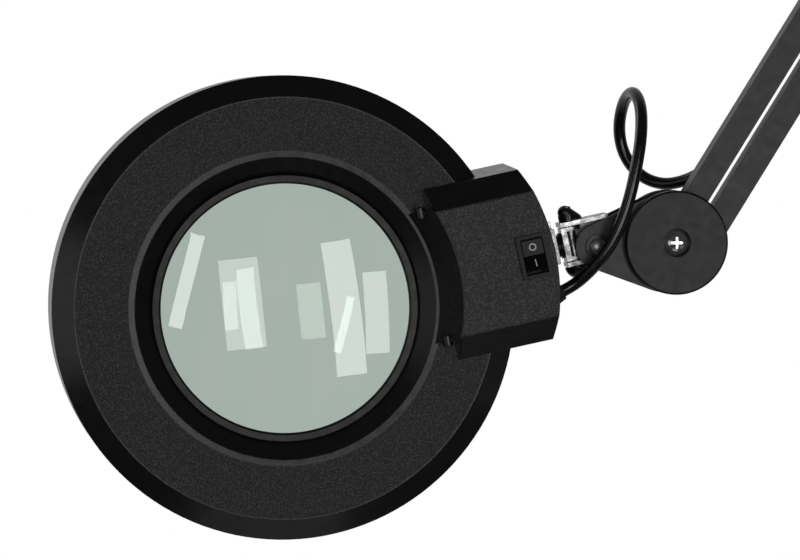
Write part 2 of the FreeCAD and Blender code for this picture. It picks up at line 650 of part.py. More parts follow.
def bar(node, foot, angle):
    """Pressed channel with round ends, open at the back, and its two bushes."""
    body = doc.addObject("PartDesign::Body", "bar")
    hole = size.pin_radius + size.pin_clearance
    for radius, length, kind in (("bar_half", "bar_depth", "PartDesign::Pad"),
                                 ("bar_half - bar_sheet", "bar_depth - bar_sheet",
                                  "PartDesign::Pocket")):
        sketch = new_sketch(body, "XY_Plane")
        reach = size.bar_half if kind.endswith("Pad") else size.bar_half - size.bar_sheet
        normal = Vector(0, 0, 1)
        far = size.bar_length
        sketch.addGeometry([
            Part.ArcOfCircle(Part.Circle(Vector(), normal, reach), math.pi / 2, 3 * math.pi / 2),
            Part.LineSegment(Vector(0, -reach, 0), Vector(far, -reach, 0)),
            Part.ArcOfCircle(Part.Circle(Vector(far, 0, 0), normal, reach),
                             -math.pi / 2, math.pi / 2),
            Part.LineSegment(Vector(far, reach, 0), Vector(0, reach, 0)),
        ], False)
        for first, end_a, second, end_b in ((0, 2, 1, 1), (1, 2, 2, 1), (2, 2, 3, 1), (3, 2, 0, 1)):
            sketch.addConstraint(Sketcher.Constraint("Tangent", first, end_a, second, end_b))
        sketch.addConstraint(Sketcher.Constraint("Coincident", 0, 3, -1, 1))
        sketch.addConstraint(Sketcher.Constraint("PointOnObject", 2, 3, -1))
        rule = sketch.addConstraint(Sketcher.Constraint("Radius", 0, reach))
        sketch.setExpression(f"Constraints[{rule}]", formula(radius))
        rule = sketch.addConstraint(Sketcher.Constraint("DistanceX", -1, 1, 2, 3, far))
        sketch.setExpression(f"Constraints[{rule}]", formula("bar_length"))
        feature = body.newObject(kind, "channel")
        feature.Profile = sketch
        bind(feature, Length=length)
        if kind.endswith("Pocket"):
            feature.Reversed = True
            sketch.AttachmentOffset = Placement()
        body.Tip = feature
    doc.recompute()
    ends = []
    for x in (0.0, size.bar_length):
        ends.append(cylinder("bar_half - 1.6", "bar_depth - bar_sheet", at(x, 0, 0)))
    holes = [cylinder(hole, "bar_depth + 2", at(x, 0, -1)) for x in (0.0, size.bar_length)]
    place = plane_frame(foot[0], foot[1], angle).multiply(at(0, 0, -size.bar_depth / 2))
    keep(cut(fuse(body, *ends), *holes), node, place)


def in_bar(foot, angle, start, end, radius, node):
    """Round piece that lies along the inside of a channel."""
    place = plane_frame(foot[0], foot[1], angle).multiply(along_x(start, 0, -0.4))
    keep(cylinder(radius, end - start, place), node)


def make_end_link():
    pivots = offset_all(arm_foot, UPPER_PIVOTS)
    plates("link", tilt_centre, arm_foot, "link_small", "disc_radius", pivots + [tilt_centre],
           "sqrt(link_length ^ 2 + 1.7 ^ 2)", [arm_foot])
    covers("link_covers", [arm_foot])
    pins("link_pins", pivots)
    through_bolts("link_bolt", [arm_foot])


def make_tilt_bolt():
    front = plane_frame(tilt_centre[0], tilt_centre[1], 0.0)
    reach = size.plate_inner + size.plate_thick
    shank = cylinder("pin_radius", 2 * reach + 6.4, front.multiply(at(0, 0, -reach - 5)))
    dome = doc.addObject("Part::Sphere", "dome")
    dome.Radius = 7.0
    dome.Placement = front.multiply(at(0, 0, reach + 1.1 + 2.0 - 7.0))
    cap = common(dome, cylinder(3.9, 3, front.multiply(at(0, 0, reach + 1.1))))
    keep(fuse(shank, cap), "tilt_bolt")
    washers = []
    for low in (reach + 0.02, -reach - 1.02):
        spot = front.multiply(at(0, 0, low))
        washers.append(cut(cylinder(6, 1, spot), cylinder("pin_radius + 0.02", 1, spot)))
    spacer = front.multiply(at(0, 0, -size.bar_depth / 2 + 1.2))
    washers.append(cut(cylinder(4.2, "plate_inner + bar_depth / 2 - 1.4", spacer),
                       cylinder("pin_radius + 0.02", 16, spacer)))
    keep(group(*washers), "tilt_washers")
    nut = doc.addObject("Part::Prism", "nut")
    nut.Polygon, nut.Circumradius, nut.Height = 6, 5.6, 3.6
    nut.Placement = front.multiply(at(0, 0, -reach - 4.7))
    keep(cut(nut, cylinder("pin_radius", 20, front.multiply(at(0, 0, -20)))), "tilt_nut")


def make_upper_arm():
    angle = size.upper_angle
    top, low = offset_all(arm_foot, UPPER_PIVOTS)
    bar("upper_bar_front", top, angle)
    bar("upper_bar_back", low, angle)
    in_bar(top, angle, 47.0, size.bar_length - 18, "cord_diameter / 2 - 0.1", "upper_cable")
    in_bar(low, angle, 40.0, 300.0, 4.2, "upper_spring")


def make_elbow():
    upper = offset_all(elbow_high, ELBOW_PIVOTS)
    lower = offset_all(elbow_low, LOWER_PIVOTS)
    plates("elbow", elbow_low, elbow_high, "disc_radius", "disc_radius", upper + lower,
           "sqrt(45 ^ 2 + 35 ^ 2)", [elbow_low, elbow_high])
    covers("elbow_covers", [elbow_low, elbow_high])
    pins("elbow_pins", upper + lower)
    through_bolts("elbow_bolts", [elbow_low, elbow_high])


def make_lower_arm():
    angle = size.lower_angle
    left, right = offset_all(base_centre, LOWER_PIVOTS)
    bar("lower_bar_left", left, angle)
    bar("lower_bar_right", right, angle)
    in_bar(left, angle, 18.0, size.bar_length - 18, "cord_diameter / 2 - 0.1", "lower_cable")
    in_bar(right, angle, 40.0, 300.0, 4.2, "lower_spring")


# ---------------------------------------------------------------- base and clamp
POST_BLOCK = (24.0, 14.8, 18.0)
BLOCK_LOW = 51.0


def make_base():
    foot = (0.0, BLOCK_LOW + 8.0)
    pivots = offset_all(base_centre, LOWER_PIVOTS)
    plates("base", foot, base_centre, "link_small", "disc_radius", pivots,
           f"base_height - {foot[1]}", [base_centre, foot])
    covers("base_covers", [base_centre])
    pins("base_pins", pivots)
    through_bolt = through_bolts("base_through_bolt", [base_centre])
    nodes.remove(through_bolt)
    block = box(POST_BLOCK[0] - 6, POST_BLOCK[1], POST_BLOCK[2] - 2, at(0, 0, BLOCK_LOW + 8),
                centred=True)
    collar = cylinder(7.4, 4.6, at(0, 0, BLOCK_LOW - 4.4))
    post = cylinder("post_radius", BLOCK_LOW - 7.0, at(0, 0, 7.0))
    cross = cylinder("through_radius + 0.1", 40, along_y(0, -20, foot[1]))
    keep(cut(fuse(block, collar, post), cross), "base_post")
    reach = size.plate_inner + size.plate_thick
    shank = cylinder("through_radius", 2 * reach + 1, along_y(0, -reach, foot[1]))
    head = cone(2.6, 4.4, 2.0, along_y(0, -reach - 2.0, foot[1]))
    keep(group(through_bolt, fuse(shank, head)), "base_bolts")


RELIEF = (25.0, 6.6, 4.2)             # length, root radius and tip radius


def make_strain_relief():
    """Tapered rubber sleeve on the rear base plate."""
    rear = size.plate_inner + size.plate_thick + 1.1
    root = LEAD_ROUTE[0][1] - RELIEF[0]
    z = LEAD_ROUTE[0][2]
    flange = cylinder(7.4, root - rear, along_y(0, rear, z))
    sleeve = cone(RELIEF[1], RELIEF[2], RELIEF[0], along_y(0, root, z))
    grooves = []
    for k in range(4):
        groove = along_y(0, root + 5.0 + 4.6 * k, z)
        grooves.append(cut(cylinder(8, 1.4, groove), cylinder(3.9, 1.4, groove)))
    bore = cylinder("cord_diameter / 2 + 0.02", RELIEF[0] - 3, along_y(0, root + 3, z))
    keep(cut(fuse(flange, sleeve), bore, *grooves), "lead_strain_relief")


def make_clamp():
    jaw = box("jaw_reach + spine + 4", "2 * jaw_half", "jaw_thick",
              at(-size.spine - 4, -size.jaw_half, 0))
    spine = box("spine", "2 * jaw_half", "throat + 24", at(-16, -size.jaw_half, -size.throat - 14))
    foot = box("jaw_reach + spine - 6", "2 * jaw_half - 8", 14,
               at(-16, -size.jaw_half + 4, -size.throat - 14))
    boss = cylinder(13.0, 34, at(0, 0, size.jaw_thick))
    ribs = [box(5, 5, 24, at(-15.5, y, size.jaw_thick)) for y in (-2.5,)]
    lug = cylinder(12.0, 14, at(size.screw_x, 0, -size.throat - 14))
    socket = cylinder("post_radius + 0.05", 60, at(0, 0, 6))
    thread = cylinder(7.5, 30, at(size.screw_x, 0, -size.throat - 22))
    body = cut(fuse(jaw, spine, foot, boss, lug, *ribs), socket, thread)
    keep(body, "clamp_frame")
    bush = cut(cylinder(7.45, 14, at(size.screw_x, 0, -size.throat - 14)),
               cylinder("screw_radius + 0.05", 20, at(size.screw_x, 0, -size.throat - 17)))
    keep(bush, "clamp_bush")


PAD_TOP = -30.0


def make_clamp_screw():
    x = size.screw_x
    tip = PAD_TOP - 4.0
    pad = fuse(cylinder(15, 4.0, at(x, 0, PAD_TOP - 4)), cylinder(9, 6, at(x, 0, PAD_TOP - 10)))
    socket = cylinder(4.05, 6.1, at(x, 0, PAD_TOP - 10))
    keep(cut(pad, socket), "clamp_pad")
    screw = fuse(cylinder("screw_radius", 74, at(x, 0, tip - 80.5)),
                 cylinder(4.0, 6.4, at(x, 0, tip - 6.5)),
                 cylinder(8.0, 14, at(x, 0, tip - 92)))
    handle_hole = cylinder(3.05, 20, along_x(x - 10, 0, tip - 85))
    keep(cut(screw, handle_hole), "clamp_screw")
    rod = cylinder(3.0, 56, along_x(x - 28, 0, tip - 85))
    knobs = []
    for end in (-1, 1):
        knob = doc.addObject("Part::Sphere", "ball")
        knob.Radius = 4.6
        knob.Placement = at(x + end * 28, 0, tip - 85)
        knobs.append(knob)
    keep(fuse(rod, *knobs), "clamp_handle")


# ---------------------------------------------------------------- cords
def rounded_tube(node, points, radius):
    """Tube whose path is straight runs joined by tangent arcs."""
    count = len(points)
    radii, lengths = [], []
    for k in range(1, count - 1):
        before, after = points[k] - points[k - 1], points[k + 1] - points[k]
        half_turn = before.getAngle(after) / 2
        radii.append(0.45 * min(before.Length, after.Length) / math.tan(half_turn))
        lengths.append(0.45 * min(before.Length, after.Length))
    edges, start = [], points[0]
    for k in range(1, count - 1):
        corner, trim = points[k], lengths[k - 1]
        back = (points[k - 1] - corner).normalize()
        ahead = (points[k + 1] - corner).normalize()
        enter, leave = corner + back * trim, corner + ahead * trim
        bisector = (back + ahead).normalize()
        centre_gap = math.hypot(radii[k - 1], trim)
        middle = corner + bisector * (centre_gap - radii[k - 1])
        edges.append(Part.LineSegment(start, enter).toShape())
        edges.append(Part.Arc(enter, middle, leave).toShape())
        start = leave
    edges.append(Part.LineSegment(start, points[-1]).toShape())
    path = Part.Wire(edges)
    circle = Part.Circle(points[0], points[1] - points[0], radius)
    solid = path.makePipeShell([Part.Wire([circle.toShape()])], True, False)
    ideal = math.pi * radius ** 2 * path.Length
    print(node, "radii", [round(r, 1) for r in radii], "length", round(path.Length, 1),
          "volume ratio", round(solid.Volume / ideal, 4))
    item = doc.addObject("Part::Feature", "tube")
    item.Shape = solid
    return keep(item, node)


def make_cords():
    radius = size.cord_diameter / 2
    x, z = arm_foot
    rounded_tube("head_cord", [Vector(x + dx, y, z + dz) for dx, y, dz in HEAD_CORD_ROUTE], radius)
    rounded_tube("mains_lead", [Vector(*point) for point in LEAD_ROUTE], radius)
    rounded_tube("mains_tail", [Vector(*point) for point in TAIL_ROUTE], radius)

    ring_low, ring_high, ring_half = 0.2, 3.1 * size.cord_diameter, 1.2 * size.cord_diameter
    centre = at(size.coil_x, 0, ring_low)
    ring = cut(cylinder(f"coil_turn_radius + {ring_half}", ring_high - ring_low, centre),
               cylinder(f"coil_turn_radius - {ring_half}", ring_high, centre))
    keep(ring, "mains_coil")


PLUG = (143.0, -19.6, 26.4)


def make_plug():
    """Two-pin plug that lies across the coil, pins towards +X."""
    x, y, z = PLUG
    body = box(34, 26, 15, at(x, y, z), centred=True)
    nose = box(8, 34, 18, at(x + 20, y, z), centred=True)
    prongs = [cylinder(2.0, 19, along_x(x + 23, y + side * 9.5, z)) for side in (-1, 1)]
    sleeve = cone(3.8, 6.4, 21.5, along_x(x - 38, y, z))
    bore = cylinder("cord_diameter / 2 + 0.02", 17.5, along_x(x - 39, y, z))
    keep(cut(fuse(body, nose, sleeve, *prongs), bore), "mains_plug")


# ---------------------------------------------------------------- the whole lamp
def check_and_write():
    doc.recompute()
    for item in doc.Objects:
        if "Invalid" in item.State or "Error" in item.State:
            raise RuntimeError(f"{item.Name} ({item.Label}) is {item.State}")
    os.makedirs("parts", exist_ok=True)
    for item in nodes:
        shape = item.Shape
        if shape.isNull() or not shape.isValid() or shape.Volume <= 0:
            raise RuntimeError(f"{item.Label} has no valid shape")
    for item in nodes:
        item.Shape.exportStep(f"parts/{item.Label}.step")
    print(len(nodes), "nodes")


make_housing()
make_lens()
make_lens_ring()
make_light()
make_driver_box()
make_driver_parts()
make_switch()
make_gland()
make_stirrup()
make_swivel()
make_knuckle()
make_yoke()
make_pitch_fasteners()
make_end_link()
make_tilt_bolt()
make_upper_arm()
make_elbow()
make_lower_arm()
make_base()
make_strain_relief()
make_clamp()
make_clamp_screw()
make_cords()
make_plug()
check_and_write()
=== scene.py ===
"""Looks of the clamp-on magnifying lamp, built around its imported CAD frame."""

import math

import bpy
import bmesh
from mathutils import Matrix, Vector


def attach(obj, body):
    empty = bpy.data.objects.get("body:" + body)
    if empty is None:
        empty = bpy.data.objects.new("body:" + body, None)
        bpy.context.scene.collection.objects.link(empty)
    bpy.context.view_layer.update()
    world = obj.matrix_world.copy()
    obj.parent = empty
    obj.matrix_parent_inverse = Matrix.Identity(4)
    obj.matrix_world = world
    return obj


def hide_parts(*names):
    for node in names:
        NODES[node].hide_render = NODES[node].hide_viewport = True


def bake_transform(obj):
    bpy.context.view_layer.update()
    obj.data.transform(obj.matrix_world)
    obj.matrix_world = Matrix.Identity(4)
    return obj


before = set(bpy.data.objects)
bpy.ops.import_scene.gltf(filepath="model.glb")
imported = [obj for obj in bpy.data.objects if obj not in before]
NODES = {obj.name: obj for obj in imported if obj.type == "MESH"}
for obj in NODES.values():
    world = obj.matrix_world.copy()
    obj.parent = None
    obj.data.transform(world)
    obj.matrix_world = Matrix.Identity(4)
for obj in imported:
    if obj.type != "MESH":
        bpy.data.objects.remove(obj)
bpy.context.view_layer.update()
scene = bpy.context.scene
scene.view_settings.view_transform = "Standard"

MM = 0.001
CORD_RADIUS = 3.0 * MM
LENS_CENTRE = Vector((-399.613, -18.0, 164.075)) * MM     # on the head's front face
HEAD_TILT = math.radians(12.0)                            # of the head's long axis above level
ARM_FOOT = Vector((-207.797, 0.0, 194.807)) * MM          # pivot of the end link
COIL_CENTRE = Vector((112.0, 0.0, 0.0)) * MM


def metres(points, origin=(0, 0, 0)):
    """Points in millimetres from origin, as vectors in metres."""
    return [Vector(origin) + Vector(p) * MM for p in points]


# ---------------------------------------------------------------- camera
def place_camera():
    """Long lens, a little to the left of the front and a little above it."""
    azimuth, elevation, distance = math.radians(-7.2), math.radians(2.5), 2.15
    target = Vector((-343.7, -13.0, 177.4)) * MM
    away = Vector((math.sin(azimuth) * math.cos(elevation),
                   -math.cos(azimuth) * math.cos(elevation), math.sin(elevation)))
    data = bpy.data.cameras.new("camera")
    data.lens = 200.0
    data.sensor_width = 36.0
    data.clip_start, data.clip_end = 0.05, 50.0
    camera = bpy.data.objects.new("camera", data)
    camera.location = target + away * distance
    camera.rotation_euler = (-away).to_track_quat("-Z", "Y").to_euler()
    scene.collection.objects.link(camera)
    scene.camera = camera


# ---------------------------------------------------------------- mesh helpers
def new_object(name, mesh, material, smooth=True):
    """Object with this mesh and material, in the scene."""
    mesh.materials.append(material)
    for face in mesh.polygons:
        face.use_smooth = smooth
    item = bpy.data.objects.new(name, mesh)
    scene.collection.objects.link(item)
    return item


def spline_points(points, resolution):
    """Points along the NURBS curve whose control points are given."""
    curve = bpy.data.curves.new("route", "CURVE")
    curve.dimensions = "3D"
    curve.resolution_u = resolution
    spline = curve.splines.new("NURBS")
    spline.points.add(len(points) - 1)
    for control, place in zip(spline.points, points):
        control.co = (*place, 1.0)
    spline.order_u = 3
    spline.use_endpoint_u = True
    holder = bpy.data.objects.new("route", curve)
    mesh = bpy.data.meshes.new_from_object(holder)
    line = [v.co.copy() for v in mesh.vertices]
    bpy.data.meshes.remove(mesh)
    bpy.data.objects.remove(holder)
    bpy.data.curves.remove(curve)
    return line


def moving_frames(line):
    """A side and an up vector for each point, turned as little as possible along the line."""
    count = len(line)
    tangents = [(line[min(k + 1, count - 1)] - line[max(k - 1, 0)]).normalized()
                for k in range(count)]
    side = tangents[0].orthogonal().normalized()
    frames = []
    for tangent in tangents:
        side = (side - tangent * side.dot(tangent)).normalized()
        frames.append((side.copy(), tangent.cross(side)))
    return frames


def ring_faces(rings, sides):
    """Faces of a closed tube whose points come ring by ring, with a cap at each end."""
    faces = []
    for ring in range(rings - 1):
        low, high = ring * sides, (ring + 1) * sides
        for k in range(sides):
            after = (k + 1) % sides
            faces.append((low + k, low + after, high + after, high + k))
    faces.append(tuple(reversed(range(sides))))
    faces.append(tuple(range((rings - 1) * sides, rings * sides)))
    return faces


def tube(name, line, frames, radius, sides, material):
    """Closed tube along a line, shaded by its true outward directions."""
    mesh = bpy.data.meshes.new(name)
    points, outward = [], []
    for centre, (side, up) in zip(line, frames):
        for k in range(sides):
            angle = 2 * math.pi * k / sides
            outward.append(side * math.cos(angle) + up * math.sin(angle))
            points.append(centre + outward[-1] * radius)
    mesh.from_pydata(points, [], ring_faces(len(line), sides))
    piece = new_object(name, mesh, material)
    mesh.normals_split_custom_set_from_vertices(outward)
    return piece


def travelled(line):
    """Distance along the line at each of its points."""
    total = [0.0]
    for before, after in zip(line, line[1:]):
        total.append(total[-1] + (after - before).length)
    return total


# ---------------------------------------------------------------- materials
class Shader:
    """Node material with a Principled surface, in object coordinates."""

    def __init__(self, name):
        self.material = bpy.data.materials.new(name)
        self.material.use_nodes = True
        self.tree = self.material.node_tree
        self.tree.nodes.clear()
        self.surface = self.node("ShaderNodeBsdfPrincipled")
        output = self.node("ShaderNodeOutputMaterial")
        self.link(self.surface.outputs["BSDF"], output.inputs["Surface"])
        self.place = self.node("ShaderNodeTexCoord").outputs["Object"]

    def node(self, kind, **settings):
        made = self.tree.nodes.new(kind)
        for key, value in settings.items():
            setattr(made, key, value)
        return made

    def link(self, source, target):
        self.tree.links.new(source, target)

    def feed(self, target, value):
        """Value is a number or another node's output."""
        if isinstance(value, (int, float)):
            target.default_value = value
        else:
            self.link(value, target)

    def math(self, operation, first, second=0.0):
        made = self.node("ShaderNodeMath", operation=operation)
        self.feed(made.inputs[0], first)
        self.feed(made.inputs[1], second)
        return made.outputs[0]

    def noise(self, size_mm, detail=3.0, stretch=None):
        """Noise whose features are about size_mm across; stretch scales the axes."""
        place = self.place
        if stretch:
            mapping = self.node("ShaderNodeMapping")
            mapping.inputs["Scale"].default_value = stretch
            self.link(place, mapping.inputs["Vector"])
            place = mapping.outputs["Vector"]
        made = self.node("ShaderNodeTexNoise")
        made.inputs["Scale"].default_value = 1.0 / (size_mm * MM)
        made.inputs["Detail"].default_value = detail
        self.link(place, made.inputs["Vector"])
        return made.outputs["Fac"]

    def spread(self, value, low, high, start=0.3, end=0.7):
        """Remaps value from start-end to low-high."""
        made = self.node("ShaderNodeMapRange")
        self.feed(made.inputs["Value"], value)
        for key, number in (("From Min", start), ("From Max", end),
                            ("To Min", low), ("To Max", high)):
            made.inputs[key].default_value = number
        return made.outputs["Result"]

    def mix(self, factor, first, second):
        """Mix of two colours, each a tuple or an output."""
        made = self.node("ShaderNodeMix", data_type="RGBA")
        self.feed(made.inputs[0], factor)
        for socket, value in ((made.inputs[6], first), (made.inputs[7], second)):
            if isinstance(value, tuple):
                socket.default_value = (*value, 1.0)
            else:
                self.link(value, socket)
        return made.outputs[2]

    def blend_numbers(self, factor, first, second):
        made = self.node("ShaderNodeMix", data_type="FLOAT")
        for socket, value in zip(made.inputs[:4], (factor, None, first, second)):
            if value is not None:
                self.feed(socket, value)
        return made.outputs[0]

    def set(self, **values):
        for key, value in values.items():
            socket = self.surface.inputs[key.replace("_", " ")]
            if isinstance(value, tuple):
                socket.default_value = (*value, 1.0)
            else:
                self.feed(socket, value)

    def relief(self, heights, round_edges=0.0):
        """Bumps from (height, depth in mm) pairs, over edges rounded by some mm."""
        normal = None
        if round_edges:
            bevel = self.node("ShaderNodeBevel", samples=4)
            bevel.inputs["Radius"].default_value = round_edges * MM
            normal = bevel.outputs["Normal"]
        for height, depth in heights:
            bump = self.node("ShaderNodeBump")
            bump.inputs["Strength"].default_value = 1.0
            self.feed(bump.inputs["Distance"], depth * MM)
            self.link(height, bump.inputs["Height"])
            if normal:
                self.link(normal, bump.inputs["Normal"])
            normal = bump.outputs["Normal"]
        self.link(normal, self.surface.inputs["Normal"])

    def edges(self, width_mm):
        """About 1 on sharp edges and 0 on flat and gently curved faces."""
        bevel = self.node("ShaderNodeBevel", samples=4)
        bevel.inputs["Radius"].default_value = width_mm * MM
        flat = self.node("ShaderNodeNewGeometry")
        product = self.node("ShaderNodeVectorMath", operation="DOT_PRODUCT")
        self.link(bevel.outputs["Normal"], product.inputs[0])
        self.link(flat.outputs["Normal"], product.inputs[1])
        return self.spread(product.outputs["Value"], 1.0, 0.0, 0.80, 0.985)


def satin(name, colour, rough, grain=(0.7, 0.03), shade=1.25, spread=0.06, rounding=0.35,
          worn=None, specular=0.5, coat=0.0):
    """Moulded plastic or paint: fine grain, slow shade changes, rounded edges."""
    look = Shader(name)
    slow = look.noise(22.0, 2.0)
    fine = look.noise(grain[0], 3.0)
    lighter = tuple(c * shade for c in colour)
    colours = look.mix(look.spread(slow, 0.0, 1.0), colour, lighter)
    if worn:
        rubbed = look.math("MULTIPLY", look.edges(rounding + 0.15),
                           look.spread(look.noise(2.4, 4.0), 0.1, 0.9, 0.42, 0.6))
        colours = look.mix(rubbed, colours, worn)
    look.set(Base_Color=colours, Specular_IOR_Level=specular, Coat_Weight=coat,
             Roughness=look.spread(look.noise(5.0, 4.0), rough - spread, rough + spread))
    look.relief([(fine, grain[1])], rounding)
    return look.material


def metal(name, colour, rough, brushed=(1.0, 1.0, 1.0), patches=0.12, rounding=0.25,
          dents=0.012, tarnish=None):
    """Brushed metal with cloudy patches of colour and roughness."""
    look = Shader(name)
    streaks = look.noise(0.9, 5.0, brushed)
    cloudy = look.noise(4.0, 4.0)
    dull = tarnish or tuple(c * 0.72 for c in colour)
    look.set(Base_Color=look.mix(look.spread(cloudy, 0.0, 1.0), colour, dull), Metallic=1.0,
             Roughness=look.math("ADD", look.spread(streaks, rough - patches / 2, rough),
                                 look.spread(cloudy, 0.0, patches)))
    look.relief([(streaks, dents)], rounding)
    return look.material


def head_plastic():
    """Gloss black shell whose flat face and box top have a moulded stipple, with painted
    glints: the stipple's specks are coloured lighter.
    """
    look = Shader("head_plastic")
    axis = look.node("ShaderNodeVectorMath", operation="SUBTRACT")
    look.link(look.place, axis.inputs[0])
    axis.inputs[1].default_value = LENS_CENTRE
    split = look.node("ShaderNodeSeparateXYZ")
    look.link(axis.outputs[0], split.inputs[0])
    x, y, z = split.outputs
    radius = look.math("SQRT", look.math("ADD", look.math("MULTIPLY", x, x),
                                         look.math("MULTIPLY", z, z)))
    inner = look.spread(radius, 0.0, 1.0, 75.6 * MM, 76.2 * MM)
    outer = look.spread(radius, 1.0, 0.0, 101.2 * MM, 101.9 * MM)
    front = look.spread(look.math("ABSOLUTE", y), 1.0, 0.0, 0.15 * MM, 0.4 * MM)
    face = look.math("MULTIPLY", look.math("MULTIPLY", inner, outer), front)
    box_top = look.spread(y, 1.0, 0.0, -11.75 * MM, -11.45 * MM)
    stipple = look.math("MAXIMUM", face, box_top)

    specks = look.noise(0.85, 2.5)
    pores = look.node("ShaderNodeTexVoronoi", feature="SMOOTH_F1")
    pores.inputs["Scale"].default_value = 1.0 / (1.05 * MM)
    pores.inputs["Smoothness"].default_value = 0.35
    look.link(look.place, pores.inputs["Vector"])
    texture = look.math("ADD", specks, look.math("MULTIPLY", pores.outputs["Distance"], 0.8))
    slow = look.noise(35.0, 2.0)
    # Painted glints: the stipple's specks get a lighter colour, which stands in for light
    # caught on the bumps.
    painted_glint_specks = look.spread(specks, 0.0, 1.0, 0.50, 0.62)
    face_colour = look.mix(painted_glint_specks, (0.0005, 0.0005, 0.0006), (0.058, 0.059, 0.060))
    top_colour = look.mix(painted_glint_specks, (0.022, 0.022, 0.0225), (0.098, 0.098, 0.100))
    rough_colour = look.mix(box_top, face_colour, top_colour)
    shell_colour = look.mix(look.spread(slow, 0.0, 1.0), (0.0045, 0.0048, 0.005),
                            (0.0075, 0.0078, 0.008))
    gloss = look.spread(look.noise(6.0, 4.0), 0.20, 0.30)
    look.set(Base_Color=look.mix(stipple, shell_colour, rough_colour),
             Roughness=look.blend_numbers(stipple, gloss, 0.52))
    depth = look.blend_numbers(stipple, 0.002 * MM, 0.20 * MM)
    look.relief([(look.noise(9.0, 2.0), 0.02)], 0.5)
    bump = look.node("ShaderNodeBump")
    look.feed(bump.inputs["Distance"], depth)
    look.link(texture, bump.inputs["Height"])
    before = look.surface.inputs["Normal"].links[0].from_socket
    look.link(before, bump.inputs["Normal"])
    look.link(bump.outputs["Normal"], look.surface.inputs["Normal"])
    return look.material


def lens_glass():
    """Green-tinted glass with faint wipe marks."""
    look = Shader("lens_glass")
    marks = look.noise(14.0, 5.0, (1.0, 1.0, 0.35))
    look.set(Base_Color=look.mix(look.spread(marks, 0.0, 1.0), (0.73, 0.87, 0.775),
                                 (0.76, 0.885, 0.80)),
             Transmission_Weight=1.0, IOR=1.52, Roughness=look.spread(marks, 0.0, 0.012))
    return look.material


def frosted():
    """Milky diffuser plastic with a fine matt surface."""
    look = Shader("frosted")
    look.set(Base_Color=look.mix(look.spread(look.noise(12.0), 0.0, 1.0), (0.86, 0.87, 0.85),
                                 (0.92, 0.92, 0.90)),
             Roughness=look.spread(look.noise(2.0), 0.45, 0.6), Subsurface_Weight=0.25)
    look.surface.inputs["Subsurface Radius"].default_value = (0.002, 0.002, 0.002)
    look.relief([(look.noise(0.5), 0.02)])
    return look.material


def make_looks():
    """Materials by the name of the record's material slot."""
    black_metal = dict(rounding=0.35, worn=(0.05, 0.05, 0.052), shade=1.08, spread=0.03)
    return {
        "head_plastic": head_plastic(),
        "lens_glass": lens_glass(),
        "frosted": frosted(),
        "lens_ring_plastic": satin("lens_ring_plastic", (0.0035, 0.0046, 0.0032), 0.42,
                                   grain=(0.6, 0.05), shade=1.8),
        "board": satin("board", (0.78, 0.80, 0.78), 0.35, grain=(1.5, 0.01), shade=1.05),
        "led": satin("led", (0.85, 0.66, 0.16), 0.3, grain=(0.4, 0.02), shade=1.15),
        "component": satin("component", (0.10, 0.16, 0.22), 0.4, shade=1.8),
        "switch_black": satin("switch_black", (0.0045, 0.0045, 0.005), 0.24,
                              grain=(0.5, 0.006), shade=1.1, spread=0.03, specular=0.18),
        "rubber_black": satin("rubber_black", (0.012, 0.012, 0.012), 0.6,
                              grain=(0.6, 0.03)),
        "knob_black": satin("knob_black", (0.009, 0.009, 0.0095), 0.3, grain=(0.8, 0.01)),
        "plug_black": satin("plug_black", (0.010, 0.010, 0.011), 0.38, grain=(0.7, 0.02)),
        "cord_pvc": satin("cord_pvc", (0.0055, 0.0055, 0.006), 0.2, grain=(3.0, 0.03),
                          rounding=0.0, coat=0.2),
        "arm_paint": satin("arm_paint", (0.026, 0.026, 0.027), 0.42, grain=(0.8, 0.016),
                           **black_metal),
        "cover_paint": satin("cover_paint", (0.0075, 0.0075, 0.008), 0.38, specular=0.36,
                             grain=(0.7, 0.02), **black_metal),
        "clamp_paint": satin("clamp_paint", (0.022, 0.022, 0.023), 0.45,
                             grain=(1.6, 0.06), **black_metal),
        "dark_washer": metal("dark_washer", (0.035, 0.037, 0.039), 0.34),
        "steel_screw": metal("steel_screw", (0.52, 0.52, 0.53), 0.30),
        "zinc": metal("zinc", (0.54, 0.545, 0.555), 0.30, (0.25, 1.0, 1.0), patches=0.2,
                      tarnish=(0.27, 0.27, 0.28)),
        "chrome": metal("chrome", (0.78, 0.78, 0.79), 0.14, patches=0.08),
        "spring_steel": metal("spring_steel", (0.50, 0.50, 0.51), 0.24),
        "brass": metal("brass", (0.70, 0.50, 0.22), 0.3, tarnish=(0.46, 0.33, 0.16)),
        "white_mark": satin("white_mark", (0.80, 0.80, 0.78), 0.45, grain=(0.4, 0.01),
                            rounding=0.0, shade=1.05),
        "bench": satin("bench", (0.80, 0.79, 0.77), 0.5, grain=(1.5, 0.02), shade=1.03,
                       rounding=1.0),
    }


# ---------------------------------------------------------------- cords
HEAD_CORD_ROUTE = metres([
    (-61.5, -13.0, -25.8), (-52.6, -13.0, -21.8), (-44.6, -15.8, -15.0),
    (-36.8, -18.6, -5.8), (-30.6, -20.0, 5.0), (-25.4, -20.6, 19.0),
    (-21.4, -20.4, 36.0), (-18.4, -18.6, 53.0), (-17.2, -10.0, 67.6),
    (-18.6, 5.0, 74.6), (-20.8, 20.5, 68.6), (-21.6, 29.4, 55.0), (-18.6, 30.0, 41.6),
    (-10.6, 27.2, 31.4), (-1.0, 22.8, 27.6), (7.4, 17.0, 28.8), (15.2, 11.0, 32.7),
    (20.3, 4.6, 38.0), (24.6, 0.8, 44.6), (29.0, 0.4, 51.4),
], ARM_FOOT)

LEAD_ROUTE = metres([
    (0.0, 38.0, 62.0), (0.6, 55.0, 59.0), (3.6, 68.0, 44.0), (9.0, 76.0, 23.0),
    (21.0, 80.0, 6.2), (38.0, 77.0, 3.2), (50.5, 64.0, 3.2), (58.0, 46.0, 3.2),
    (64.6, 27.0, 3.2), (70.6, 8.0, 3.2), (77.2, -12.7, 3.4),
])

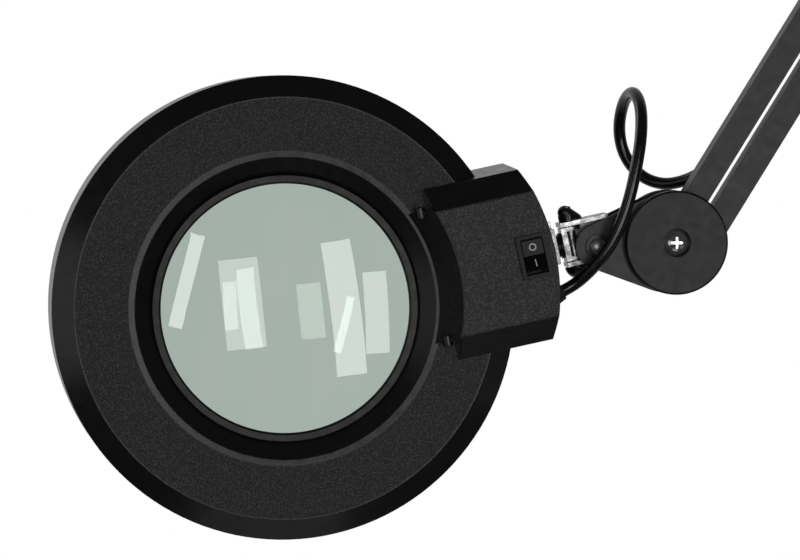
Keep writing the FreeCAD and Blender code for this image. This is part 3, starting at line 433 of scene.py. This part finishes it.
TAIL_ROUTE = metres([
    (102.4, 35.7, 15.8), (88.2, 28.3, 17.8), (78.9, 17.6, 20.4), (74.2, 5.0, 22.6),
    (77.5, -7.4, 24.4), (86.6, -16.5, 25.8), (99.0, -19.6, 26.4), (121.3, -19.6, 26.4),
])

# Each length of the head cord, with the two bodies that one joint joins and where along the
# cord it starts; the lengths aren't attached to these bodies.
HEAD_CORD_LENGTHS = [
    ("head_cord_at_box", "head", "knuckle", 0.0),
    ("head_cord_at_pitch", "knuckle", "yoke", 40.0 * MM),
    ("head_cord_at_tilt", "yoke", "end_link", 79.0 * MM),
    ("head_cord_loop", "end_link", "upper_bar_front", 118.0 * MM),
]


def head_cord(material):
    """Cord from the driver box through its loop to the upper bar, in four lengths."""
    line = spline_points(HEAD_CORD_ROUTE, 10)
    frames = moving_frames(line)
    along = travelled(line)
    cuts = [min(k for k, s in enumerate(along) if s >= start)
            for _, _, _, start in HEAD_CORD_LENGTHS] + [len(line) - 1]
    for (name, body, after, _), first, last in zip(HEAD_CORD_LENGTHS, cuts, cuts[1:]):
        part, turned = line[first:last + 1], frames[first:last + 1]
        piece = tube(name, part, turned, CORD_RADIUS, 20, material)
        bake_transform(piece)
        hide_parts("head_cord")


def coil_route():
    """Six turns wound from outside in and back, two wide and three high."""
    start, finish, per_turn = 200.0, 2265.0, 16
    turns = [(37.0, 3.3), (31.0, 3.3), (31.2, 9.5), (37.2, 9.4), (31.0, 15.5), (37.0, 15.7)]
    settled = 0.8                                          # of each turn, before it steps over
    points = []
    angle = start + 360.0 / per_turn
    while angle < finish - 180.0 / per_turn:
        done = (angle - start) / 360.0
        turn = min(int(done), len(turns) - 1)
        after = min(turn + 1, len(turns) - 1)
        step = max(0.0, (done - turn - settled) / 0.2)
        step = step * step * (3 - 2 * step)
        radius, height = (a + (b - a) * step for a, b in zip(turns[turn], turns[after]))
        radius += 0.25 * math.sin(math.radians(1.7 * angle))
        turned = math.radians(angle)
        points.append(COIL_CENTRE + Vector((radius * math.cos(turned),
                                            radius * math.sin(turned), height)) * MM)
        angle += 360.0 / per_turn
    return points


def mains_cord(material):
    """Mains lead, coil and tail as one cord, which ends in the plug."""
    line = spline_points(LEAD_ROUTE + coil_route() + TAIL_ROUTE, 6)
    piece = tube("mains_cord", line, moving_frames(line), CORD_RADIUS, 16, material)
    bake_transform(piece)
    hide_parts("mains_lead", "mains_coil", "mains_tail")


# ---------------------------------------------------------------- arm springs and screw
def coil_spring(name, pivot, angle, body, material):
    """Extension spring in a bar's channel, hooked at both ends."""
    radius, wire, pitch = 3.55 * MM, 0.62 * MM, 1.75 * MM
    first, last = 48.0 * MM, 292.0 * MM          # the coils' ends, from the bar's pivot
    hook, hook_gap, hook_steps, hook_half_turns = 3.4 * MM, 0.8 * MM, 8, 1.45
    ahead = Vector((math.cos(angle), 0, math.sin(angle)))
    across, depth = Vector((-math.sin(angle), 0, math.cos(angle))), Vector((0, 1, 0))
    centre = Vector(pivot) * MM + Vector((0, 0.4 * MM, 0))
    turns, per_turn = int((last - first) / pitch), 14
    line = []
    for k in range(hook_steps + 1):
        turned = math.pi * (hook_half_turns - hook_half_turns * k / hook_steps)
        line.append(centre + ahead * (first - hook - hook_gap + hook * math.cos(turned))
                    + across * hook * math.sin(turned))
    for k in range(turns * per_turn + 1):
        turned = 2 * math.pi * k / per_turn
        line.append(centre + ahead * (first + pitch * k / per_turn)
                    + (across * math.cos(turned) + depth * math.sin(turned)) * radius)
    end = first + pitch * turns
    for k in range(hook_steps + 1):
        turned = math.pi * (1.0 - hook_half_turns * k / hook_steps)
        line.append(centre + ahead * (end + hook + hook_gap + hook * math.cos(turned))
                    + across * hook * math.sin(turned))
    piece = tube(name, line, moving_frames(line), wire, 7, material)
    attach(piece, body)
    return piece


def threaded_screw(material):
    """Clamp screw: collar, rolled thread and plain nose, on the bench clamp's axis."""
    axis = Vector((28.0, 0, 0)) * MM
    sides, pitch, rings_per_turn = 36, 1.5, 8
    thread_low, thread_high, runout = -112.0, -41.6, 2.5
    mean_radius, half_depth, flank = 4.56, 0.4, 3.2
    collar = [(-126.0, 0.01), (-126.0, 6.9), (-124.9, 8.0), (-113.2, 8.0),
              (thread_low, 7.0), (thread_low, 4.6)]
    nose = [(thread_high, 4.2), (-40.6, 3.9), (-34.4, 3.9), (-34.15, 3.5), (-34.15, 0.01)]
    rings = [(z, r, 0.0) for z, r in collar]
    steps = int((thread_high - thread_low) / (pitch / rings_per_turn))
    for k in range(1, steps):
        z = thread_low + k * pitch / rings_per_turn
        fade = min(1.0, (z - thread_low) / runout, (thread_high - z) / runout)
        rings.append((z, mean_radius, half_depth * max(0.0, fade)))
    rings += [(z, r, 0.0) for z, r in nose]
    points = []
    for z, radius, depth in rings:
        for k in range(sides):
            turned = 2 * math.pi * k / sides
            wave = (z / pitch - k / sides) % 1.0
            crest = flank * (0.5 - abs(2 * wave - 1.0))
            reach = radius + depth * max(-1.0, min(1.0, crest))
            points.append(axis + Vector((reach * math.cos(turned),
                                         reach * math.sin(turned), z)) * MM)
    mesh = bpy.data.meshes.new("clamp_screw_threaded")
    mesh.from_pydata(points, [], ring_faces(len(rings), sides))
    piece = new_object("clamp_screw_threaded", mesh, material)
    piece.modifiers.new("creases", "EDGE_SPLIT").split_angle = math.radians(40)
    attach(piece, "clamp_screw")
    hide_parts("clamp_screw")


# ---------------------------------------------------------------- switch marks
def rocker_marks(material):
    """Raised ring and bar, the usual off and on marks, on the rocker's two slopes."""
    switch_place = Vector((121.5, 0, 9.8)) * MM            # along, across and out of the head
    rocker_tilt = math.radians(-9.0)
    valley, rise, run = 3.2, 1.8, 7.4                      # the rocker's two slopes
    off_centre, proud = 3.9, 0.03
    slope = math.atan2(rise, run)
    height = valley + rise * off_centre / run + proud
    tilt = Matrix.Rotation(-HEAD_TILT, 4, "Y")
    face = Matrix.Translation(LENS_CENTRE) @ tilt
    facing = Matrix.Rotation(math.radians(90), 4, "X")     # local z comes out of the front
    seat = face @ facing @ Matrix.Translation(switch_place)
    seat = seat @ Matrix.Rotation(rocker_tilt, 4, "X")
    for name, side in (("rocker_ring", 1), ("rocker_bar", -1)):
        spot = seat @ Matrix.Translation(Vector((0, side * off_centre, height)) * MM)
        spot = spot @ Matrix.Rotation(side * slope, 4, "X")
        mesh = bpy.data.meshes.new(name)
        build = bmesh.new()
        if side > 0:
            inner, outer, sides = 1.25 * MM, 1.82 * MM, 36
            for top in (0.0, 0.08 * MM):
                for reach in (inner, outer):
                    for k in range(sides):
                        turned = 2 * math.pi * k / sides
                        build.verts.new((reach * math.cos(turned), reach * math.sin(turned),
                                         top))
            build.verts.ensure_lookup_table()
            loops = [[k + sides * j for k in range(sides)] for j in range(4)]
            order = (loops[0], loops[1], loops[3], loops[2], loops[0])
            for low, high in zip(order, order[1:]):
                for k in range(sides):
                    after = (k + 1) % sides
                    build.faces.new([build.verts[i] for i in
                                     (low[k], low[after], high[after], high[k])])
            bmesh.ops.recalc_face_normals(build, faces=build.faces)
        else:
            bmesh.ops.create_cube(build, size=1.0)
            bmesh.ops.scale(build, vec=(0.55 * MM, 3.7 * MM, 0.08 * MM), verts=build.verts)
            bmesh.ops.translate(build, vec=(0, 0, 0.04 * MM), verts=build.verts)
            bmesh.ops.bevel(build, geom=build.edges, offset=0.02 * MM, segments=2,
                            affect="EDGES")
        build.to_mesh(mesh)
        build.free()
        mesh.transform(spot)
        piece = new_object(name, mesh, material, smooth=False)
        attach(piece, "rocker")


# ---------------------------------------------------------------- light and stage
def softbox(name, place, aim, width, height, radiance, slant=0.0):
    """Rectangular area light turned to aim, with slant degrees of roll."""
    data = bpy.data.lights.new(name, "AREA")
    data.shape = "RECTANGLE"
    data.size, data.size_y = width, height
    data.energy = radiance * math.pi * width * height
    item = bpy.data.objects.new(name, data)
    item.location = place
    facing = (Vector(aim) - Vector(place)).to_track_quat("-Z", "Y").to_matrix()
    item.rotation_euler = (facing @ Matrix.Rotation(math.radians(slant), 3, "Z")).to_euler()
    scene.collection.objects.link(item)


def light_the_scene():
    """Panels that the lens reflects, soft fills, and a white studio world."""
    head = (-0.40, 0.0, 0.17)
    softbox("window_left", (-0.50, -2.52, 0.08), head, 0.32, 0.73, 4.5, slant=6.0)
    softbox("window_right", (0.33, -2.45, 0.04), head, 0.25, 1.10, 6.0, slant=8.0)
    softbox("window_far_right", (0.59, -2.40, 0.00), head, 0.20, 0.66, 5.5, slant=4.0)
    softbox("window_far_left", (-0.93, -2.40, 0.26), head, 0.11, 0.75, 7.0, slant=-14.0)
    softbox("rim_left", (-2.0, 0.7, 0.9), head, 1.0, 1.6, 1.4)
    softbox("fill_left", (-2.3, -1.2, 0.1), head, 1.5, 1.5, 0.55)
    softbox("fill_low", (-0.3, -0.9, -2.1), head, 1.6, 1.0, 0.35)

    world = bpy.data.worlds.new("studio")
    scene.world = world
    world.use_nodes = True
    tree = world.node_tree
    tree.nodes.clear()
    coords = tree.nodes.new("ShaderNodeTexCoord")
    split = tree.nodes.new("ShaderNodeSeparateXYZ")
    tree.links.new(coords.outputs["Generated"], split.inputs[0])
    gradient = tree.nodes.new("ShaderNodeMapRange")
    for key, value in (("From Min", -0.15), ("From Max", 1.0), ("To Min", 0.05),
                       ("To Max", 0.55)):
        gradient.inputs[key].default_value = value
    tree.links.new(split.outputs["Y"], gradient.inputs["Value"])
    rays = tree.nodes.new("ShaderNodeLightPath")
    seen = tree.nodes.new("ShaderNodeMix")
    tree.links.new(rays.outputs["Is Camera Ray"], seen.inputs[0])
    tree.links.new(gradient.outputs["Result"], seen.inputs[2])
    seen.inputs[3].default_value = 1.0
    background = tree.nodes.new("ShaderNodeBackground")
    background.inputs["Color"].default_value = (1.0, 1.0, 1.0, 1.0)
    tree.links.new(seen.outputs[0], background.inputs["Strength"])
    output = tree.nodes.new("ShaderNodeOutputWorld")
    tree.links.new(background.outputs[0], output.inputs["Surface"])


def bench(material):
    """Edge of a bench top in the clamp's throat. It isn't part of the lamp."""
    build = bmesh.new()
    bmesh.ops.create_cube(build, size=1.0)
    bmesh.ops.scale(build, vec=(0.46, 0.56, 0.0297), verts=build.verts)
    bmesh.ops.translate(build, vec=(0.2265, 0.0, -0.01485), verts=build.verts)
    bmesh.ops.bevel(build, geom=build.edges, offset=0.0012, segments=3, affect="EDGES")
    mesh = bpy.data.meshes.new("bench_top")
    build.to_mesh(mesh)
    build.free()
    new_object("bench_top", mesh, material, smooth=False)


# ---------------------------------------------------------------- the lamp
LOOKS = make_looks()
for node in NODES.values():
    for slot in node.material_slots:
        slot.material = LOOKS[slot.material.name.split(".")[0]]

place_camera()
head_cord(LOOKS["cord_pvc"])
mains_cord(LOOKS["cord_pvc"])

upper = coil_spring("upper_spring_coil", (-202.997, 0.0, 176.807), math.radians(58.0),
                    "upper_bar_back", LOOKS["spring_steel"])
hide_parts("upper_spring")
lower = coil_spring("lower_spring_coil", (15.0, 0.0, 95.0), math.radians(80.0),
                    "lower_bar_right", LOOKS["spring_steel"])
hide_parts("lower_spring")
threaded_screw(LOOKS["zinc"])
rocker_marks(LOOKS["white_mark"])

light_the_scene()
bench(LOOKS["bench"])
